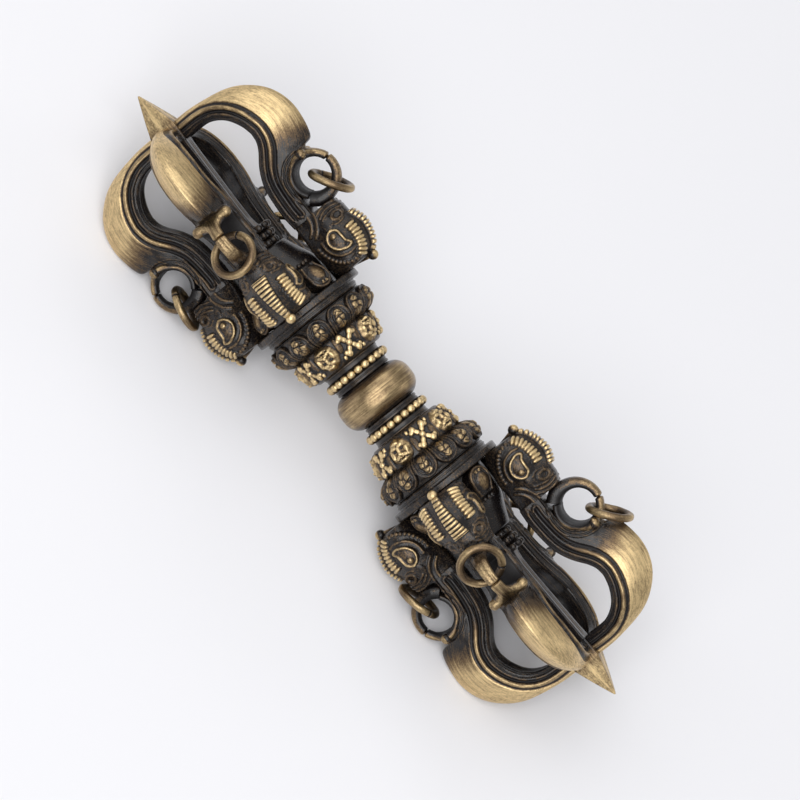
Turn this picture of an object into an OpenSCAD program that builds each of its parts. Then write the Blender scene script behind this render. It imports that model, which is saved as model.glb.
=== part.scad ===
// Dorje vajra: a five-pronged brass sceptre, lying on two prongs of each end.
// The long axis is X, the origin is the middle of the central bead and +Z is up.
// Each end is drawn in its own frame: z runs outwards along the axis, x points to one prong.

/* [Bead and collars] */
// Radius of the central bead
bead_r = 8.4; // [8:0.1:9]
// Rounding radius of the bead's profile
bead_round = 3.4; // [2.6:0.1:3.6]
// Half of the bead's length along the axis
bead_half = 4; // [3.8:0.1:4.4]
// Length of one pearl collar with its two plain shoulders
collar_length = 4.45; // [4.2:0.05:5]
// Radius of the collar's plain shoulders
collar_r = 6.1; // [5.6:0.1:6.6]
// Radius of one pearl
pearl_r = 0.82; // [0.7:0.02:0.84]
// Radius of the circle that the pearls' middles lie on
pearl_ring_r = 6.4; // [6.2:0.05:6.6]
// Pearls round one collar
pearl_count = 24; // [16:1:28]

/* [Face tier] */
// Length of the tier of faces
tier_length = 6.1; // [5:0.1:7]
// Radius of the tier under its relief, at its widest
tier_r = 9; // [8.5:0.1:9.4]
// Radius of the tier at the end near the bead
tier_small_r = 7.9; // [7.4:0.1:8.4]
// Rounding at the tier's two ends
tier_round = 0.7; // [0.3:0.1:1]
// Elements round the tier, faces and crossed vajras in turn
tier_count = 10; // [8:2:12]
// Radius of one round face
face_r = 2.6; // [2:0.1:2.8]
// How far the faces stand proud of the tier
face_relief = 0.9; // [0.4:0.1:1.4]

/* [Lotus ring] */
// Length of the petal ring
lotus_length = 4.9; // [4:0.1:6]
// Radius over the petals
lotus_r = 11.6; // [11:0.1:12]
// Petals round the ring
petal_count = 14; // [10:1:16]
// Depth of the valleys between the petals
petal_depth = 1.3; // [1:0.1:1.6]
// Width of one petal at its round end
petal_width = 4.5; // [4:0.1:4.6]
// How far the barrel behind the petals draws in towards the tier
petal_draw = 1; // [0.5:0.1:1.5]
// How far the petals stay inside the ring's two ends
petal_inset = 0.15; // [0.1:0.05:0.4]

/* [Rim disc and hub] */
// Length of the plain neck under the rim disc
rim_neck = 1.4; // [1:0.1:2]
// Radius of that neck
rim_neck_r = 10.6; // [9:0.1:11]
// Thickness of the rim disc
disc_thickness = 1.6; // [1:0.1:2.4]
// Radius of the rim disc
disc_r = 12.2; // [11.8:0.1:13]
// Bevel on the edges of the rim disc
disc_bevel = 0.3; // [0.1:0.05:0.6]
// Radius of the hub inside the four heads
hub_r = 7.9; // [7:0.1:8]
// Straight length of the hub
hub_length = 7; // [5:0.1:8]
// Radius of the hub's outer end
hub_end_r = 5; // [4:0.1:6]
// Length of a corner petal along the axis
corner_height = 5.2; // [4:0.1:6]
// Width of a corner petal
corner_width = 5; // [4:0.1:5.4]
// Radius out to a corner petal's face
corner_out = 11; // [9.5:0.1:11.6]
// Gap between a corner petal's round end and the disc
corner_inset = 0.15; // [0.1:0.05:0.4]

/* [Tie rod] */
// Radius of the hidden tie rod
rod_r = 1.5; // [1:0.1:1.8]
// How deep the rod sits in each spike
rod_in_spike = 5; // [3:0.5:6]

/* [Makara heads] */
// Length of a head along the axis
head_length = 13.1; // [12.5:0.1:14]
// Radius at which a head's underside lies
head_low = 8.3; // [8.2:0.1:9]
// Radius of the crest at its highest
head_crest = 19.6; // [18:0.1:20.5]
// Width of a head at the eyes
head_width = 11; // [9:0.1:11.4]
// Ribs on the crest
crest_ribs = 11; // [7:1:13]
// Height of the ribbed crest bar
crest_height = 0.9; // [0.5:0.1:1.4]

/* [Prongs] */
// How far the keel of a prong rises outside the loop's middle
keel_rise = 5.2; // [4.8:0.1:5.6]
// Width of a prong across its side ridges at the bulge
prong_width = 7.8; // [7:0.1:8.4]
// Thickness of a prong from keel to inner face at the bulge
prong_depth = 9.7; // [9:0.1:10.5]
// Distance along the axis from the loop's middle to the highest point of the keel
bulge_ahead = 12.6; // [12:0.1:13.4]
// Distance along the axis from there to the end of the prong
tip_ahead = 12.8; // [12:0.1:13.6]
// Thickness of the prong where it meets the spike
prong_tip = 4.4; // [3.6:0.1:5]
// Radius of the tenon that holds a prong in a head's mouth
tenon_r = 1.5; // [1:0.1:1.8]
// Length of that tenon
tenon_length = 5; // [3:0.5:7]

/* [Loops and rings] */
// Distance along the axis from a head's mouth to the loop's middle
loop_ahead = 5.85; // [5.6:0.05:6.2]
// Radius from the axis at which it lies
loop_out = 18; // [17.6:0.1:18.4]
// Radius of the loop's hole
loop_hole = 3.4; // [3.2:0.1:3.6]
// Thickness of the loop's band
band = 1.4; // [1.2:0.1:1.7]
// Width of the band at the notch where the two curls meet
band_narrow = 2.6; // [2:0.1:3]
// Width of the flare at the root of the prong's curl
band_flare = 9.6; // [8:0.1:10.4]
// Angle round the loop at which the two curls meet
notch_at = 75; // [70:1:85]
// Outer diameter of a jump ring
ring_d = 9.8; // [9:0.1:10.4]
// Wire diameter of a jump ring
ring_wire = 1.6; // [1.2:0.1:1.8]
// Play of a hanging ring in its loop
ring_play = 0.5; // [0.3:0.1:0.9]
// Distance from the loop's middle to the middle of an upper ring that lies towards its head
ring_rest = 3.6; // [3.4:0.1:4.2]
// The same for a lower ring
ring_floor_rest = 4.7; // [4.4:0.1:4.8]
// How far an upper ring lies sideways in its loop
ring_aside = 0.5; // [0:0.1:0.7]
// How far the floor pushes a lower ring sideways in its loop
ring_lift = 0.9; // [0:0.1:1]
// Angle at which the ring on the tip side lies
ring_tip_side = 38; // [37:1:60]
// Angle at which an upper ring lies towards its head
ring_head_side = 150; // [140:1:165]
// Gap between a lower ring and the head that it lies over
ring_clear = 0.38; // [0.3:0.02:0.8]
// Width of the cut in a jump ring
ring_cut = 0.12; // [0.05:0.01:0.3]

/* [Spike] */
// Length of the four-sided point beyond the prongs
point_length = 8.2; // [7:0.1:9]
// Half width of the four-sided shaft at its thinnest
shaft_half = 2.1; // [1.8:0.1:2.4]
// Half width of the shaft where the prongs meet it
spike_half = 2.7; // [2.4:0.1:3]
// Radius of the largest of the three knots
knot_r = 5; // [4.4:0.1:5.2]
// Length of one knot
knot_length = 1.7; // [1.5:0.1:1.9]

/* [Fits] */
// Clearance round the rod and the tenons
fit = 0.05; // [0.02:0.01:0.1]
// Clearance between curved faces that only lie together
seat = 0.1; // [0.05:0.05:0.3]

/* [Hidden] */
$fn = 64;

// Stations along the axis, from the bead outwards
tier_at = bead_half + collar_length;
lotus_at = tier_at + tier_length;
rim_at = lotus_at + lotus_length;
disc_at = rim_at + rim_neck;
head_at = disc_at + disc_thickness;
mouth_at = head_at + head_length;
loop_at = mouth_at + loop_ahead;
bulge_at = loop_at + bulge_ahead;
prong_end = bulge_at + tip_ahead;
tip_at = prong_end + point_length;

// Radii that follow from the named ones
head_tall = head_crest - head_low;
prong_reach = loop_out + keel_rise;
ring_mean_r = (ring_d - ring_wire) / 2;
muzzle_top = loop_out + band * 0.3;
// A lower ring clears the crest, or the muzzle where that stands higher
ring_over = max(head_crest, muzzle_top + ring_wire / 2) + ring_clear;
ring_floor_side = 180 - asin((ring_over - loop_out) / (ring_floor_rest + ring_mean_r));

SIDES = [["right", 1], ["left", -1]];
// Each prong's place, its angle round the axis and the way the floor pushes its ring aside
SPOTS = [["up_back", 45, 0], ["up_front", 135, 0], ["down_front", 225, -1], ["down_back", 315, 1]];
STACK = ["pearl_collar", "face_tier", "lotus_ring", "rim_disc", "hub", "spike"];
ARMS = ["makara", "prong", "ring"];

brass = [0.72, 0.6, 0.36];
dark_brass = [0.3, 0.26, 0.2];

// Only the ring of this node leans towards the prong's tip, the others lie on their heads
TIPWARD = "right_ring_up_back";

// Turns an end's own frame so that its z runs along X, and mirrors it for the left end
module at_end(side) {
  mirror([side < 0 ? 1 : 0, 0, 0]) rotate(120, [1, 1, 1]) children();
}

// The same, with the frame's x turned to one prong
module at_prong(side, angle) {
  mirror([side < 0 ? 1 : 0, 0, 0]) rotate([angle, 0, 0]) rotate(120, [1, 1, 1]) children();
}

module rod_hole(from, to) {
  translate([0, 0, from - rod_r]) cylinder(r = rod_r + fit, h = to - from + 2 * rod_r);
}

// Points of a smooth curve through a list of rows, a given number of steps per row
function between(a, b, c, d, t) =
  0.5 * (2 * b + (c - a) * t + (2 * a - 5 * b + 4 * c - d) * t * t + (3 * b - a - 3 * c + d) * t * t * t);
function row(rows, i) = rows[max(0, min(len(rows) - 1, i))];
function along(rows, t) = let (i = min(floor(t), len(rows) - 2))
  between(row(rows, i - 1), rows[i], rows[i + 1], row(rows, i + 2), t - i);
function smooth(rows, steps) = [for (k = [0 : steps * (len(rows) - 1)]) along(rows, k / steps)];

// Closed solid through a list of rings that have equally many points
module loft(rings) {
  n = len(rings[0]);
  last = len(rings) - 1;
  first_middle = (last + 1) * n;
  polyhedron(
    points = concat([for (ring = rings) each ring], [middle(rings[0]), middle(rings[last])]),
    faces = [
      for (j = [0 : n - 1]) let (next = (j + 1) % n) each concat(
        [[first_middle, j, next], [first_middle + 1, last * n + next, last * n + j]],
        [for (i = [0 : last - 1]) each [
          [i * n + j, (i + 1) * n + j, i * n + next],
          [i * n + next, (i + 1) * n + j, (i + 1) * n + next]
        ]]
      )
    ]
  );
}
function middle(ring) = [for (p = ring) 1] * ring / len(ring);

module core_rod() {
  half = mouth_at + rod_in_spike;
  color(dark_brass) rotate([0, 90, 0]) cylinder(r = rod_r, h = 2 * half, center = true);
}

module centre_bead() {
  color(brass) rotate([0, 90, 0]) difference() {
    rotate_extrude($fn = 96) {
      for (end = [-1, 1])
        translate([bead_r - bead_round, end * (bead_half - bead_round)]) circle(bead_round);
      translate([bead_r - bead_round, bead_round - bead_half])
        square([bead_round, 2 * (bead_half - bead_round)]);
      translate([0, -bead_half]) square([bead_r - bead_round, 2 * bead_half]);
    }
    rod_hole(-bead_half, bead_half);
  }
}

// A string of pearls in a groove between two plain shoulders
module pearl_collar() {
  pearl_at = bead_half + collar_length / 2;
  color(brass) difference() {
    union() {
      rotate_extrude() difference() {
        translate([0, bead_half]) square([collar_r, collar_length]);
        translate([pearl_ring_r - pearl_r / 2, pearl_at - pearl_r - seat])
          square([collar_r, 2 * (pearl_r + seat)]);
      }
      for (i = [0 : pearl_count - 1])
        rotate(i * 360 / pearl_count) translate([pearl_ring_r, 0, pearl_at]) sphere(pearl_r, $fn = 24);
    }
    rod_hole(bead_half, tier_at);
  }
}

// A crossed vajra in relief: two bars with round ends and a boss where they cross
module crossed_vajra() {
  arm = face_r * 0.85;
  bar_r = face_r * 0.25;
  for (bar = [[45, bar_r], [135, bar_r * 1.1]]) rotate(bar[0]) {
    rotate([90, 0, 0]) cylinder(r = bar[1], h = 2 * arm, center = true);
    for (end = [-1, 1]) translate([0, end * arm, 0]) sphere(bar[1] * 1.4);
  }
  sphere(bar_r * 1.8);
}

// A lion face in relief: a round mane, a domed brow and a muzzle
module lion_face() {
  translate([0, 0, -face_r / 2]) cylinder(r = face_r, h = face_r / 2 + face_relief * 0.35);
  translate([-face_r * 0.2, 0, face_relief - face_r * 0.7]) sphere(face_r * 0.7);
  translate([face_r * 0.4, 0, face_relief * 0.4]) sphere(face_r * 0.42);
}

// A barrel that widens away from the bead, with lion faces and crossed vajras in turn
module face_tier() {
  lean = atan2(tier_r - tier_small_r, tier_length);
  color(dark_brass) difference() {
    union() {
      rotate_extrude() {
        polygon([
          [0, tier_at], [tier_small_r - tier_round, tier_at], [tier_small_r, tier_at + tier_round],
          [tier_r, lotus_at - tier_round], [tier_r - tier_round, lotus_at], [0, lotus_at]
        ]);
      }
      for (i = [0 : tier_count - 1]) rotate(i * 360 / tier_count)
        translate([(tier_r + tier_small_r) / 2, 0, tier_at + tier_length / 2]) rotate([0, 90 - lean, 0])
          if (i % 2 == 0) {
            lion_face();
          } else {
            crossed_vajra();
          }
    }
    rod_hole(tier_at, lotus_at);
  }
}

// A ring of petals, narrow at the tier, whose round ends point to the rim disc
module lotus_ring() {
  pitch = 360 / petal_count;
  petal_r = petal_width / 2;
  foot_r = petal_r * 0.3;
  shoulder_r = petal_r * 0.94;
  core_r = lotus_r - petal_depth;
  round_at = rim_at - petal_inset - petal_r;
  color(dark_brass) difference() {
    union() {
      translate([0, 0, lotus_at]) cylinder(r1 = core_r - petal_draw, r2 = core_r, h = lotus_length / 2);
      translate([0, 0, lotus_at + lotus_length / 2]) cylinder(r = core_r, h = lotus_length / 2);
      for (i = [0 : petal_count - 1]) rotate(i * pitch) translate([lotus_r - petal_r, 0, 0]) {
        translate([0, 0, lotus_at + petal_inset])
          cylinder(r1 = foot_r, r2 = shoulder_r, h = round_at - lotus_at - petal_inset);
        translate([0, 0, round_at]) sphere(petal_r);
      }
    }
    rod_hole(lotus_at, rim_at);
  }
}

// Outline of a petal: straight sides and a round end, from y = 0 to its height
module petal_outline(width, height) {
  translate([-width / 2, 0]) square([width, height - width / 2]);
  translate([0, height - width / 2]) circle(width / 2);
}

module rim_disc() {
  color(dark_brass) difference() {
    rotate_extrude() polygon([
      [0, rim_at], [rim_neck_r, rim_at], [rim_neck_r, disc_at], [disc_r - disc_bevel, disc_at],
      [disc_r, disc_at + disc_bevel], [disc_r, head_at - disc_bevel], [disc_r - disc_bevel, head_at],
      [0, head_at]
    ]);
    rod_hole(rim_at, head_at);
  }
}

// The block between the heads, with a petal standing in each corner
module hub() {
  color(dark_brass) difference() {
    union() {
      translate([0, 0, head_at]) cylinder(r = hub_r, h = hub_length);
      translate([0, 0, head_at + hub_length])
        cylinder(r1 = hub_r, r2 = hub_end_r, h = head_length - hub_length);
      for (corner = [0 : 90 : 270]) rotate(corner)
        translate([hub_r / 2, 0, head_at + corner_inset + corner_height]) rotate([-90, 0, -90])
          linear_extrude(corner_out - hub_r / 2) petal_outline(corner_width, corner_height);
    }
    rod_hole(head_at, mouth_at);
  }
}

// Shaft with three knots at its foot and a four-sided point, flats towards the prongs
module spike() {
  knots = 3;
  shaft_from = mouth_at + (knots - 0.3) * knot_length;
  point_from = prong_end - prong_tip * 0.14;
  color(brass) difference() {
    union() {
      for (i = [0 : knots - 1]) let (r = knot_r * (0.88 + 0.06 * i) - knot_length / 2)
        translate([0, 0, mouth_at + (i + 0.5) * knot_length]) rotate_extrude() {
          translate([r, 0]) circle(knot_length / 2);
          translate([0, -knot_length / 2]) square([r, knot_length]);
        }
      loft([
        for (s = [[shaft_from, shaft_half * 1.24], [shaft_from + 2 * knot_length, shaft_half],
                  [prong_end - prong_tip * 1.22, spike_half * 0.93], [prong_end - prong_tip, spike_half],
                  [point_from, spike_half], [(point_from + tip_at) / 2, spike_half * 0.6],
                  [tip_at, spike_half * 0.09]])
          [for (a = [45, 135, 225, 315]) [s[1] * sqrt(2) * cos(a), s[1] * sqrt(2) * sin(a), s[0]]]
      ]);
    }
    translate([0, 0, mouth_at - rod_r]) cylinder(r = rod_r + fit, h = rod_in_spike + rod_r + seat);
  }
}

// A head's half width at shares of its height, as shares of the widest, and the crest at its top
function flank(crest_share) =
  [[0, 0.42], [0.14, 0.72], [0.42, 1], [0.66, 0.96], [0.84, 0.68], [1, crest_share]];

// One ring of points across a head, from its underside to its crest and down the other side
function head_ring(s) = let (side = flank(s[4] / s[3]), last = len(side) - 1) [
  for (i = [0 : last]) [s[1] + (s[2] - s[1]) * side[i][0], -side[i][1] * s[3], s[0]],
  for (i = [last : -1 : 0]) [s[1] + (s[2] - s[1]) * side[i][0], side[i][1] * s[3], s[0]]
];

// The point on a head's flank at a share of its length and a share of its height
function flank_point(side, length_share, height_share) =
  let (
    steps = [[0, 0], [0.16, 1], [0.45, 2], [0.68, 3], [0.87, 4], [1, 5]],
    s = along(skull_rows(), lookup(length_share, steps))
  )
    [s[1] + (s[2] - s[1]) * height_share, side * s[3] * lookup(height_share, flank(s[4] / s[3])), s[0]];

// One ring of points across the band of a loop, at an angle round the loop's middle
function band_ring(angle, width, thickness) = [
  for (p = [[0.3, 0.5], [0.7, 0.5], [1, 0.28], [1, -0.28], [0.7, -0.5], [0.3, -0.5], [0, -0.28], [0, 0.28]])
    let (r = loop_hole + p[0] * thickness)
      [loop_out + r * sin(angle), p[1] * width, loop_at + r * cos(angle)]
];

module loop_hole_cut() {
  translate([loop_out, 0, loop_at]) rotate([90, 0, 0])
    cylinder(r = loop_hole, h = 2 * band_flare, center = true);
}

// Rows of the head's skull: place, underside, crest, half width and half width of the crest
function skull_rows() = [
  [head_at, head_low + head_tall * 0.12, head_crest - head_tall * 0.28, head_width * 0.4, head_width * 0.08],
  [head_at + head_length * 0.16, head_low + head_tall * 0.05, head_crest - head_tall * 0.09,
    head_width * 0.475, head_width * 0.09],
  [head_at + head_length * 0.45, head_low, head_crest, head_width * 0.5, head_width * 0.11],
  [head_at + head_length * 0.68, head_low, head_crest - head_tall * 0.08, head_width * 0.43,
    head_width * 0.13],
  [head_at + head_length * 0.87, head_low, muzzle_top, head_width * 0.34, head_width * 0.135],
  [mouth_at, head_low, loop_out - band * 0.3, head_width * 0.3, head_width * 0.135]
];

// Thickness of a trunk at an angle round the loop: it grows into the head and stays off the prong's root
trunk_sweep = 130;
trunk_end = 226;
trunk_steps = 20;
notch_half = 3;
function trunk_growth(angle) = (angle - notch_at) / trunk_sweep;
function trunk_thickness(angle) =
  let (grown = band * (1 + 1.8 * pow(trunk_growth(angle), 2)))
    angle < 200 ? grown : min(grown, (loop_out - root_top() - seat) / -sin(angle) - loop_hole);

// Head with a ribbed crest, ribbed brows and a trunk that curls up into half of the loop
module makara() {
  crest = [for (r = skull_rows()) [r[2], 0, r[0]]];
  brow_r = head_width * 0.073;
  brow_ribs = 6;
  eye_r = head_width * 0.145;
  nostril_r = head_width * 0.1;
  ball_r = head_width * 0.1;
  color(dark_brass) difference() {
    union() {
      loft([for (s = smooth(skull_rows(), 2)) head_ring(s)]);
      loft([for (i = [0 : trunk_steps])
        let (from = notch_at + notch_half, a = from + (trunk_end - from) * i / trunk_steps)
          band_ring(a, band_narrow * (1 + 0.7 * trunk_growth(a)), trunk_thickness(a))]);
      for (i = [0 : crest_ribs - 1]) let (t = i / (crest_ribs - 1))
        translate(along(crest, 0.1 + t * 2.8)) rotate([90, 0, 0])
          cylinder(r = crest_height, h = head_width * (0.16 + 0.11 * t), center = true, $fn = 24);
      translate(crest[0] + [ball_r / 2, 0, -ball_r / 2]) sphere(ball_r);
      for (side = [-1, 1]) {
        for (i = [0 : brow_ribs - 1]) let (a = 170 - 30 * i)
          translate(flank_point(side, 0.3 + 0.24 * cos(a), 0.65 + 0.23 * sin(a))) sphere(brow_r, $fn = 24);
        translate([head_low + head_tall / 2, side * (head_width * 0.545 - eye_r),
                   head_at + head_length * 0.41])
          sphere(eye_r);
        translate(flank_point(side, 0.72, 0.84)) sphere(nostril_r);
      }
    }
    translate([tenon_out(), 0, mouth_at - tenon_length - seat])
      cylinder(r = tenon_r + fit, h = tenon_length + 1);
  }
}

function tenon_out() = (root_low() + root_top()) / 2;
function root_low() = head_low;
function root_top() = loop_out - loop_hole - band * 0.8;

// One ring of points across a prong, from its outer edge to its inner face
function prong_ring(s) =
  let (outer = [s[1], s[0]], inner = [s[3], s[2]], half = s[4], lip = s[5])
    [for (p = [
      [0, -lip], [0.2, -lip - (1 - lip) * 0.62], [0.45, -lip - (1 - lip) * 0.92], [0.62, -1], [0.69, -0.9],
      [0.77, -0.95], [1, -0.7], [0.93, 0], [1, 0.7], [0.77, 0.95], [0.69, 0.9], [0.62, 1],
      [0.45, lip + (1 - lip) * 0.92], [0.2, lip + (1 - lip) * 0.62], [0, lip]
    ]) let (q = outer + (inner - outer) * p[0]) [q[0], -p[1] * half, q[1]]];

// Curved prong with a keel, side ridges and the other half of the loop
module prong() {
  half = prong_width / 2;
  wall = loop_hole + band * 0.75;
  inner = prong_reach - prong_depth;
  root_end = loop_at - loop_hole * 0.7;
  curl_from = -130;
  curl_to = notch_at - notch_half;
  curl_steps = 24;
  flare_end = 30;
  stations = smooth([
    [mouth_at, root_top(), mouth_at, root_low(), half * 0.82, 1],
    [root_end, root_top(), root_end, root_low() - loop_hole * 0.06, half * 0.84, 1],
    [loop_at + wall * 0.35, loop_out - wall * 0.94, loop_at + bulge_ahead * 0.27,
      root_low() + prong_depth * 0.04, half * 0.88, 1],
    [loop_at + wall * 0.82, loop_out - wall * 0.57, loop_at + bulge_ahead * 0.57,
      root_low() + prong_depth * 0.2, half * 0.95, 0.95],
    [loop_at + wall, loop_out, loop_at + bulge_ahead * 0.81, inner - prong_depth * 0.1, half, 0.75],
    [loop_at + wall * 1.05, loop_out + wall * 0.5, bulge_at - bulge_ahead * 0.06,
      inner - prong_depth * 0.02, half, 0.45],
    [loop_at + wall * 1.2, prong_reach - keel_rise * 0.17, bulge_at + tip_ahead * 0.03, inner, half, 0.16],
    [bulge_at, prong_reach, bulge_at + tip_ahead * 0.11, inner, half, 0.14],
    [bulge_at + tip_ahead * 0.39, prong_reach - prong_depth * 0.12, bulge_at + tip_ahead * 0.28,
      inner - prong_depth * 0.06, half * 0.98, 0.16],
    [bulge_at + tip_ahead * 0.69, prong_reach - prong_depth * 0.44, bulge_at + tip_ahead * 0.47,
      inner - prong_depth * 0.21, half * 0.9, 0.24],
    [prong_end - tip_ahead * 0.12, prong_reach - prong_depth * 0.9, bulge_at + tip_ahead * 0.59,
      inner - prong_depth * 0.41, half * 0.78, 0.32],
    [prong_end - tip_ahead * 0.015, spike_half + prong_tip * 1.15, prong_end - prong_tip,
      inner - prong_depth * 0.68, half * 0.66, 0.4],
    [prong_end, spike_half + seat, prong_end - prong_tip, spike_half + seat, half * 0.6, 0.4]
  ], 2);
  color(brass) difference() {
    union() {
      loft([for (s = stations) prong_ring(s)]);
      loft([for (i = [0 : curl_steps]) let (a = curl_from + (curl_to - curl_from) * i / curl_steps)
        band_ring(a, a > flare_end ? band_narrow
          : a > 0 ? band_narrow + (band_flare - band_narrow) * pow((flare_end - a) / flare_end, 2)
          : band_flare + (prong_width * 0.9 - band_flare) * min(1, -a / (2 * flare_end)), band)]);
      translate([tenon_out(), 0, mouth_at - tenon_length]) cylinder(r = tenon_r, h = tenon_length + 1);
    }
    loop_hole_cut();
  }
}

// Round wire bent to a ring, with the cut where it was closed
module ring(angle, offset, aside) {
  open = 2 * asin(ring_cut / 2 / ring_mean_r);
  color(brass) translate([loop_out, 0, loop_at]) rotate([0, angle - 90, 0]) translate([offset, aside, 0])
    rotate(140) rotate_extrude(angle = 360 - open) translate([ring_mean_r, 0]) circle(ring_wire / 2);
}

// How a ring lies in its loop: angle, distance from the loop's middle and sideways place
function ring_lie(name, push) =
  name == TIPWARD ? [ring_tip_side, loop_hole - ring_wire / 2 - ring_play + ring_mean_r, 0]
  : push == 0 ? [ring_head_side, ring_rest, ring_aside]
  : [ring_floor_side, ring_floor_rest, push * ring_lift];

core_rod();
centre_bead();
for (side = SIDES) {
  at_end(side[1]) pearl_collar();
  at_end(side[1]) face_tier();
  at_end(side[1]) lotus_ring();
  at_end(side[1]) rim_disc();
  at_end(side[1]) hub();
  at_end(side[1]) rotate(45) spike();
  for (spot = SPOTS) {
    head_name = str(side[0], "_makara_", spot[0]);
    at_prong(side[1], spot[1]) makara();
    prong_name = str(side[0], "_prong_", spot[0]);
    at_prong(side[1], spot[1]) prong();
    ring_name = str(side[0], "_ring_", spot[0]);
    lie = ring_lie(ring_name, spot[2]);
    at_prong(side[1], spot[1]) ring(lie[0], lie[1], lie[2]);
  }
}
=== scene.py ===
import math
import bpy
import numpy as np
from mathutils import Matrix, Vector


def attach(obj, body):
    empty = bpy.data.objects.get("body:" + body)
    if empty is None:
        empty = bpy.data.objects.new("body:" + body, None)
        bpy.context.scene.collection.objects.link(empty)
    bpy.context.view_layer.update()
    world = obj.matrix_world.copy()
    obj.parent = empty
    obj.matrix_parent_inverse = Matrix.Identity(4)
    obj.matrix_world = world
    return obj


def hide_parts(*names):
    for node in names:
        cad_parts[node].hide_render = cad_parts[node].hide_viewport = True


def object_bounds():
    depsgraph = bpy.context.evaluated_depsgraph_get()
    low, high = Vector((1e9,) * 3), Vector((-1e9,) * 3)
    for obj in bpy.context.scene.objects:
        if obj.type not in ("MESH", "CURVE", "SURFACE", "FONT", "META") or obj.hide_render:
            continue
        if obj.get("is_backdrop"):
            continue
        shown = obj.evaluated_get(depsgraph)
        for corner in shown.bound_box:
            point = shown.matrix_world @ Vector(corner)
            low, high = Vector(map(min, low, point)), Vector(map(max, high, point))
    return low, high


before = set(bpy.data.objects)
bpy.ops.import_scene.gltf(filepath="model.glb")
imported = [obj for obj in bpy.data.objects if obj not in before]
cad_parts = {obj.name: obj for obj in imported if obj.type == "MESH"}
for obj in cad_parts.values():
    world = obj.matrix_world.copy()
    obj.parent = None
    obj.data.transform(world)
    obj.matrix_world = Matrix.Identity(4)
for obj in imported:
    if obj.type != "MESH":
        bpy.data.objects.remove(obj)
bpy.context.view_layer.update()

# Tie rod: a plain turned brass bar through the whole stack, hidden by the pieces that it carries.
# It keeps its own solid and only gets its metal.
MM = 0.001
ROOT = "vajra"
SIDES = {"right": 1, "left": -1}


def linear(code):
    rgb = [int(code[i:i + 2], 16) / 255 for i in (1, 3, 5)]
    return [c / 12.92 if c <= 0.04045 else ((c + 0.055) / 1.055) ** 2.4 for c in rgb] + [1.0]


def put(tree, kind, sockets, **settings):
    node = tree.nodes.new(kind)
    for name, value in settings.items():
        setattr(node, name, value)
    for name, value in sockets.items():
        if isinstance(value, bpy.types.NodeSocket):
            tree.links.new(value, node.inputs[name])
        else:
            node.inputs[name].default_value = value
    return node


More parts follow.
